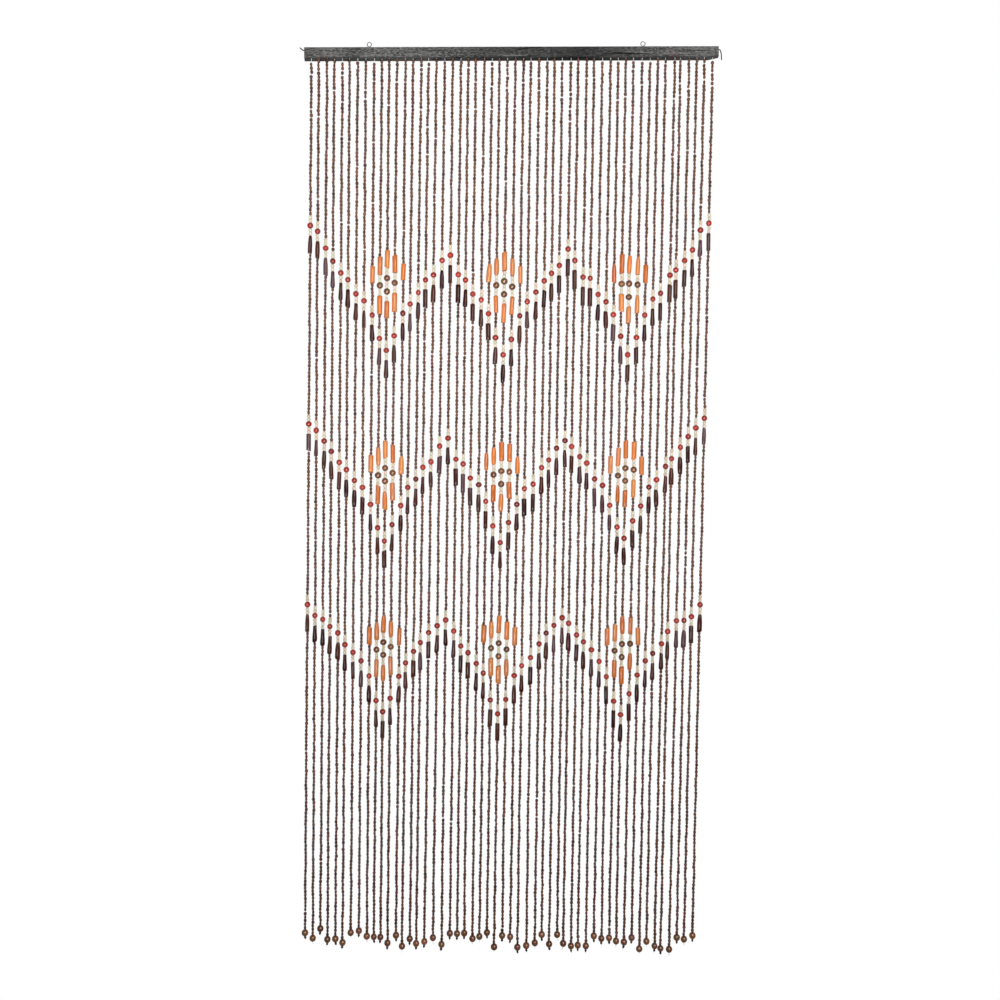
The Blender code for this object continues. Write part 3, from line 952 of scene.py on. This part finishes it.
def make_running_cord(material):
    """The cord inside the bar, between its two loose ends."""
    end = BAR_LENGTH / 2 - CORD_INSIDE - HIDDEN_CORD_SPACE
    path = [bar_point(share * end, STRING_LINE_Y, CHANNEL_Z) for share in (-1, -0.5, 0, 0.5, 1)]
    tubes = [tube_arrays(path, CORD_RADIUS, HIDDEN_CORD_SIDES)]
    join_tubes("running_cord", tubes, material)


# ---------------- beads on their strings

# Lengths along the string and radii of the beads, in metres, and the spread of the radii as a share.
BEAD_KINDS = {row["letter"]: row for row in named_rows(("letter", "kind", "length", "radius", "spread"), (
    ("b", "brown", 0.0080, 0.00318, 0.09),
    ("c", "cream", 0.0077, 0.00385, 0.05),
    ("E", "red", 0.0122, 0.00630, 0.04),
    ("D", "dark_tube", 0.0385, 0.00520, 0.05),
    ("O", "orange_tube", 0.0390, 0.00550, 0.05),
    ("R", "round", 0.0136, 0.00710, 0.03),
))}
BEAD_PITCH = BEAD_KINDS["b"]["length"]
LENGTH_LIMITS = (0.85, 1.15)        # of a bead's own length and radius, as shares of its kind's
RADIUS_LIMITS = (0.82, 1.16)

# Every string has three of these, from the top down: cream, cream, red, cream, cream, dark tube.
V_CHART = "ccEccD"
# Above it, at a V's tip and up to two strings away: a diamond of orange tubes round brown balls.
DIAMOND_CHART = {
    0: "OccRccRccO" + 6 * "b",
    1: "OccRccO" + 4 * "b",
    2: "O" + 6 * "b",
}
# Each row: from the bar's underside to the red bead at the tips of its V's, and how many beads higher the
# red bead is strung on each further string.
ROWS = (
    {"drop": 0.6361, "rises": (0, 4, 10, 14, 16, 20, 21, 25, 28, 33, 35)},
    {"drop": 1.0510, "rises": (0, 4, 10, 15, 17, 20, 22, 25, 28, 31, 33)},
    {"drop": 1.4411, "rises": (0, 4, 11, 15, 17, 20, 23, 25, 27, 28, 31)},
)
# The V's in each row: first and last string, and the one at the tip.
V_STRINGS = named_rows(("first", "last", "tip"), (
    (0, 18, 10),
    (19, 33, 25),
    (34, 51, 41),
))
# Bare string between the bar and the first bead: most are drawn up snug, and the others hang loose.
FIRST_GAP_SNUG = 0.0014
FIRST_GAP_LOOSE = (0.0025, 0.0090)
SNUG_SHARE = 0.55
# How likely bare string is to show above a small bead, down to each depth on the string.
GAP_CHANCES = ((0.12, 0.080), (0.60, 0.032), (math.inf, 0.012))
GAP_LENGTH = (0.0010, 0.0028)

STRINGING_SEED = 11
MISCOUNT_SHARE = 0.22               # rows that the stringer counted one bead too many or too few
STAGGER = 0.00070                   # how far a small bead hangs to the side of its string
STOP_SHARE = 0.72                   # end beads with a stop bead under them
STOP_LENGTH = (0.0052, 0.0068)
STOP_RADIUS = (0.0022, 0.0028)
TUBE_SLANTS = (0, 0, 0.25, -0.3)    # how the ends of the tubes are cut, by chance
DARK_TUBE_SHAPES = (0, 0, 1, 1, 2, 3)
ORANGE_TUBE_SHAPES = (0, 0, 0, 2, 3)


def v_step(index):
    """How many strings away the tip of this string's V is."""
    v = next(v for v in V_STRINGS if v["first"] <= index <= v["last"])
    return abs(index - v["tip"])


def gap_chance(depth):
    return next(chance for limit, chance in GAP_CHANCES if depth < limit)


def chart_beads(string, rng):
    """Every bead of one string from the top down, each with its kind letter, top, length and radius."""
    bar_bottom = bar_point(string["hole"], 0, BAR_BOTTOM_Z).z
    first_gap = FIRST_GAP_SNUG if rng.random() < SNUG_SHARE else rng.uniform(*FIRST_GAP_LOOSE)
    start = bar_bottom - first_gap
    end = string["end_z"] + string["end_radius"]
    pitch_share = rng.gauss(1.0, 0.005)
    beads = []
    cursor = start

    def spread_out(size, spread, limits):
        return size * max(limits[0], min(limits[1], rng.gauss(1.0, spread)))

    def lay(letter, spread=0.04, scale=1.0):
        nonlocal cursor
        sizes = BEAD_KINDS[letter]
        length = spread_out(sizes["length"], spread, LENGTH_LIMITS) * scale
        radius = spread_out(sizes["radius"], sizes["spread"], RADIUS_LIMITS)
        beads.append({"letter": letter, "top": cursor, "length": length, "radius": radius})
        cursor -= length

    def lay_brown(down_to):
        nonlocal cursor
        while cursor - down_to > BEAD_PITCH / 2:
            if rng.random() < gap_chance(start - cursor):
                cursor -= rng.uniform(*GAP_LENGTH)
            lay("b", scale=pitch_share)

    step = v_step(string["index"])
    chart = DIAMOND_CHART.get(step, "") + V_CHART
    above = sum(BEAD_KINDS[letter]["length"] for letter in chart[:chart.index("E")])
    for row in ROWS:
        red_z = bar_bottom - row["drop"] + row["rises"][step] * BEAD_PITCH
        row_top = red_z + BEAD_KINDS["E"]["length"] / 2 + above
        if rng.random() < MISCOUNT_SHARE:
            row_top += rng.choice((-1, 1)) * BEAD_PITCH
        lay_brown(row_top)
        for letter in chart:
            lay(letter, spread=0.035)

    last_start = len(beads)
    last_top = cursor
    lay_brown(end)
    fit = (last_top - end) / (last_top - cursor)
    for bead in beads[last_start:]:
        bead["top"] = last_top - (last_top - bead["top"]) * fit
        bead["length"] *= fit
    return beads


def add_bead(bead, string, side, brown, groups, rng):
    """Put one charted bead in its list. A small bead hangs a little to the given side of its string."""
    letter, radius, length = bead["letter"], bead["radius"], bead["length"]
    middle = string_point(string, bead["top"] - length / 2)
    group = brown if letter == "b" else groups[BEAD_KINDS[letter]["kind"]]
    if letter in "bc":
        away = STAGGER * rng.uniform(0.3, 1.2)
        middle += Vector((math.cos(side), math.sin(side), 0)) * away
        lean = (rng.gauss(0, 0.05), rng.gauss(0, 0.05))
        group.add(middle, radius, length * 0.985, rng, lean=lean, flatten=rng.uniform(0, 0.06))
    elif letter in "ER":
        group.add(middle, radius, length, rng, lean=(rng.gauss(0, 0.04), rng.gauss(0, 0.04)))
    else:
        lean = (rng.gauss(0, 0.022), rng.gauss(0, 0.012))
        slant = (rng.choice(TUBE_SLANTS), rng.choice(TUBE_SLANTS))
        template = rng.choice(DARK_TUBE_SHAPES if letter == "D" else ORANGE_TUBE_SHAPES)
        flatten = rng.uniform(0, 0.15)
        group.add(middle, radius, length * 0.99, rng, lean, slant, flatten, template)


def add_string_end(string, end_beads, stop_beads, rng):
    """The end bead and, on most strings, a stop bead under it. Returns where the thread comes out."""
    radius = string["end_radius"]
    middle = string_point(string, string["end_z"])
    end_beads.add(middle, radius * rng.uniform(0.95, 1.01), 2 * radius, rng,
                  lean=(rng.gauss(0, 0.05), rng.gauss(0, 0.05)))
    foot = middle - Vector((0, 0, radius))
    # Two spare draws, so that the beads after them stay as they are.
    rng.gauss(0, 1), rng.gauss(0, 1)
    if rng.random() < STOP_SHARE:
        length = rng.uniform(*STOP_LENGTH)
        lean = (rng.gauss(0, 0.16), rng.gauss(0, 0.10))
        down = Vector((*lean, 1)) * length
        stop_beads.add(foot - down * 0.5, rng.uniform(*STOP_RADIUS), length, rng, lean=lean)
        foot = foot - down
    return foot


def make_beads(strings, materials):
    """Every bead, string by string. Returns each thread's foot and how low its tail may reach."""
    rng = random.Random(STRINGING_SEED)
    groups = {kind["kind"]: BeadList() for kind in BEAD_KINDS.values() if kind["kind"] != "brown"}
    end_beads = BeadList()
    stop_beads = BeadList()
    tails = []
    barrel = Turned(BARREL_PROFILE, BARREL_SIDES)
    bored_barrel = Turned(BARREL_PROFILE, BORED_BARREL_SIDES, COMMON_BORE)
    ball = Turned(round_profile(BALL_RINGS, BALL_FLAT), BALL_SIDES, BALL_BORE)
    tubes = [Turned(profile, TUBE_BEAD_SIDES, COMMON_BORE) for profile in TUBE_PROFILES]

    for string in strings:
        brown = BeadList()
        side = rng.uniform(0, math.tau)
        for bead in chart_beads(string, rng):
            side += rng.gauss(0, 1.0)
            add_bead(bead, string, side, brown, groups, rng)
        name = f"string_{string['index'] + 1:02d}_brown_beads"
        brown.join(name, [barrel], materials["brown"], "brown_bead")
        foot = add_string_end(string, end_beads, stop_beads, rng)
        tails.append({"foot": foot, "end_z": string["end_z"] - string["end_radius"] - TAIL_LENGTH})

    for group, name, templates, look, slot in (
        (groups["cream"], "cream_beads", [bored_barrel], "cream", "cream_bead"),
        (groups["red"], "red_round_beads", [ball], "red", "red_bead"),
        (groups["round"], "brown_round_beads", [ball], "round", "round_bead"),
        (groups["dark_tube"], "dark_tube_beads", tubes, "dark", "dark_bead"),
        (groups["orange_tube"], "orange_tube_beads", tubes, "orange", "orange_bead"),
        (end_beads, "end_beads", [ball], "end", "round_bead"),
        (stop_beads, "stop_beads", [bored_barrel], "stop", "dark_bead"),
    ):
        group.join(name, templates, materials[look], slot)
    return tails


THREAD_RADIUS = 0.00055
THREAD_SIDES = 6
THREAD_STEPS = 8
TAIL_RADIUS = 0.00035
# Each knot: how far its sections stand above its foot, and their radii.
KNOT_HEIGHTS = (0.0004, 0.0, -0.0007, -0.0014)
KNOT_RADII = (0.0005, 0.0010, 0.0010, 0.0004)
KNOT_SIDES = 8


def make_threads(strings, tails, material):
    """The white threads, from the running cord inside the bar down through the end beads."""
    tubes = []
    for string, tail in zip(strings, tails):
        mouth_z = bar_point(string["hole"], STRING_LINE_Y, BAR_BOTTOM_Z).z
        path = [bar_point(string["hole"], STRING_LINE_Y, CHANNEL_Z)]
        stretch = mouth_z - string["end_z"]
        for step in range(THREAD_STEPS + 1):
            path.append(string_point(string, mouth_z - stretch * step / THREAD_STEPS))
        path.append(tail["foot"])
        tubes.append(tube_arrays(path, THREAD_RADIUS, THREAD_SIDES))
    join_tubes("bead_threads", tubes, material, replaced=("strand_comb",))


def make_thread_tails(tails, material):
    """The knots and cut ends of the threads, under the stop beads."""
    rng = random.Random(STRINGING_SEED + 1)
    tubes = []
    for tail in tails:
        foot = tail["foot"]
        room = foot.z - tail["end_z"]
        knot = [foot + Vector((0, 0, height)) for height in KNOT_HEIGHTS]
        tubes.append(tube_arrays(knot, KNOT_RADII, KNOT_SIDES))
        for _ in range(rng.choice((1, 2, 2))):
            reach = max(0.0015, min(room, 0.0075) * rng.uniform(0.6, 1.0))
            out = Vector((rng.gauss(0, 0.25), rng.gauss(0, 0.2), -1)).normalized()
            bend = Vector((rng.gauss(0, 0.3), rng.gauss(0, 0.2), 0))
            start = foot - Vector((0, 0, 0.0008))
            path = [start, start + out * reach * 0.35, start + (out + bend * 0.3) * reach * 0.7,
                    start + (out + bend * 0.6) * reach]
            tubes.append(tube_arrays(smooth_route(path, 8), TAIL_RADIUS, THREAD_SIDES))
    join_tubes("thread_tails", tubes, material)


# ---------------- stage

FLOOR_Z = -2.06
FLOOR_HALF = 15.0
WHITE = (1.0, 1.0, 1.0, 1.0)
ROOM_STRENGTH = 0.24                # of the even light from all round
MIRRORED_STRENGTH = 0.05            # of the same light in reflections
LIGHTS = named_rows(("name", "place", "target", "size", "power", "spread", "reflected"), (
    ("key_light", (0.7, -3.3, -0.1), (0, 0, -1.0), (1.7, 1.7), 59, 180, True),
    ("low_light", (-0.4, -2.2, -1.7), (0, 0, -0.1), (1.4, 0.6), 9, 75, True),
    ("back_light", (0.6, 3.4, 0.9), (0, 0, -1.0), (2.0, 2.0), 44, 180, False),
))


def make_floor():
    """White paper under the curtain, which neither lights it nor shows in it."""
    mesh = bpy.data.meshes.new("floor")
    corners = [(x * FLOOR_HALF, y * FLOOR_HALF, FLOOR_Z) for x, y in ((-1, -1), (1, -1), (1, 1), (-1, 1))]
    mesh.from_pydata(corners, [], [(0, 1, 2, 3)])
    mesh.materials.append(new_material("floor_paper", Base_Color=(0, 0, 0, 1.0), Roughness=1.0,
                                       Specular_IOR_Level=0.0, Emission_Color=WHITE, Emission_Strength=1.0))
    floor = add_object("floor", mesh)
    floor.visible_diffuse = False
    floor.visible_glossy = False


def make_world():
    """White paper all round for the camera, a dim even light for everything else, dimmest in reflections."""
    world = bpy.data.worlds.new("studio")
    bpy.context.scene.world = world
    world.use_nodes = True
    tree = world.node_tree
    room = tree.nodes["Background"]
    room.inputs["Color"].default_value = WHITE
    room.inputs["Strength"].default_value = ROOM_STRENGTH
    paper = add_node(tree, "ShaderNodeBackground", {"Color": WHITE, "Strength": 1.0})
    mirrored = add_node(tree, "ShaderNodeBackground", {"Color": WHITE, "Strength": MIRRORED_STRENGTH})
    ray = add_node(tree, "ShaderNodeLightPath").outputs
    lit = add_node(tree, "ShaderNodeMixShader",
                   {0: ray["Is Glossy Ray"], 1: room.outputs[0], 2: mirrored.outputs[0]})
    chosen = add_node(tree, "ShaderNodeMixShader",
                      {0: ray["Is Camera Ray"], 1: lit.outputs[0], 2: paper.outputs[0]})
    tree.links.new(chosen.outputs[0], tree.nodes["World Output"].inputs["Surface"])


def make_light(name, place, target, size, power, spread, reflected):
    data = bpy.data.lights.new(name, "AREA")
    data.shape = "RECTANGLE"
    data.size, data.size_y = size
    data.energy = power
    data.spread = math.radians(spread)
    light = add_object(name, data)
    light.location = place
    aim = Vector(target) - Vector(place)
    light.rotation_mode = "QUATERNION"
    light.rotation_quaternion = aim.to_track_quat("-Z", "Y")
    light.visible_glossy = reflected


def make_stage():
    make_floor()
    make_world()
    for light in LIGHTS:
        make_light(**light)
    bpy.context.scene.view_settings.view_transform = "Standard"


# ---------------- the curtain

CORD_COLOURS = ((0.014, 0.002, 0.004), (0.080, 0.009, 0.018))
STRING_COLOURS = ((0.72, 0.70, 0.66), (0.90, 0.89, 0.86))
# Each kind's stains, dark, light and odd, and then what its finish has of its own, with rim for the
# painted shade at the ends of its beads.
BEAD_LOOKS = {
    "brown": (((0.026, 0.007, 0.003), (0.240, 0.088, 0.047), (0.130, 0.070, 0.032)),
              {"second_odd": (0.145, 0.068, 0.064), "own_shade": 0.80, "rim": (0.62, 0.60), "specular": 0.3}),
    "cream": (((0.600, 0.460, 0.280), (1.000, 0.890, 0.690), (0.720, 0.720, 0.560)),
              {"second_odd": (0.840, 0.650, 0.540), "second_share": 0.4, "rim": (0.45, 0.35)}),
    "red": (((0.250, 0.015, 0.010), (0.600, 0.046, 0.027), (0.130, 0.008, 0.012)),
            {"odd_share": 0.14, "coat": 1.0, "coat_ior": 1.7, "coat_gloss": 0.06}),
    "orange": (((0.440, 0.080, 0.008), (0.920, 0.270, 0.048), (0.760, 0.290, 0.085)),
               {"second_odd": (0.700, 0.250, 0.110), "rim": (0.93, 0.4), "grain_scale": 700.0, "coat": 0.8,
                "coat_gloss": 0.09}),
    "dark": (((0.010, 0.001, 0.001), (0.096, 0.015, 0.008), (0.084, 0.030, 0.018)),
             {"second_odd": (0.130, 0.070, 0.080), "rim": (0.95, 0.6), "specular": 0.15, "coat": 0.6,
              "coat_gloss": 0.08, "grain_scale": 800.0, "grain_depth": 0.00018}),
    "round": (((0.070, 0.022, 0.007), (0.360, 0.125, 0.045), (0.200, 0.105, 0.036)),
              {"coat": 1.0, "coat_ior": 2.0, "coat_gloss": 0.08}),
    "end": (((0.110, 0.034, 0.012), (0.480, 0.170, 0.062), (0.260, 0.130, 0.044)),
            {"second_odd": (0.240, 0.085, 0.066), "coat": 1.0, "coat_ior": 2.2, "coat_gloss": 0.08}),
    "stop": (((0.030, 0.011, 0.008), (0.085, 0.034, 0.024), (0.060, 0.034, 0.026)), {}),
}


def make_curtain():
    strings = string_layout()
    check_layout(strings)
    cord_fibre = fibre_material("cord_fibre", *CORD_COLOURS)
    make_cord_end("left", -1, CORD_LEFT_ROUTE, cord_fibre)
    make_cord_end("right", 1, CORD_RIGHT_ROUTE, cord_fibre)
    make_running_cord(cord_fibre)

    make_header_bar(strings, bar_wood_material())
    eye_metal = wire_material()
    make_screw_eye("left", EYE_LEFT_X, eye_metal)
    make_screw_eye("right", EYE_RIGHT_X, eye_metal)

    materials = {kind: bead_material(kind + "_bead", *stains, **finish_and_shade)
                 for kind, (stains, finish_and_shade) in BEAD_LOOKS.items()}
    string_fibre = fibre_material("string_fibre", *STRING_COLOURS)
    tails = make_beads(strings, materials)
    make_threads(strings, tails, string_fibre)
    make_thread_tails(tails, string_fibre)


make_camera()
make_curtain()
make_stage()
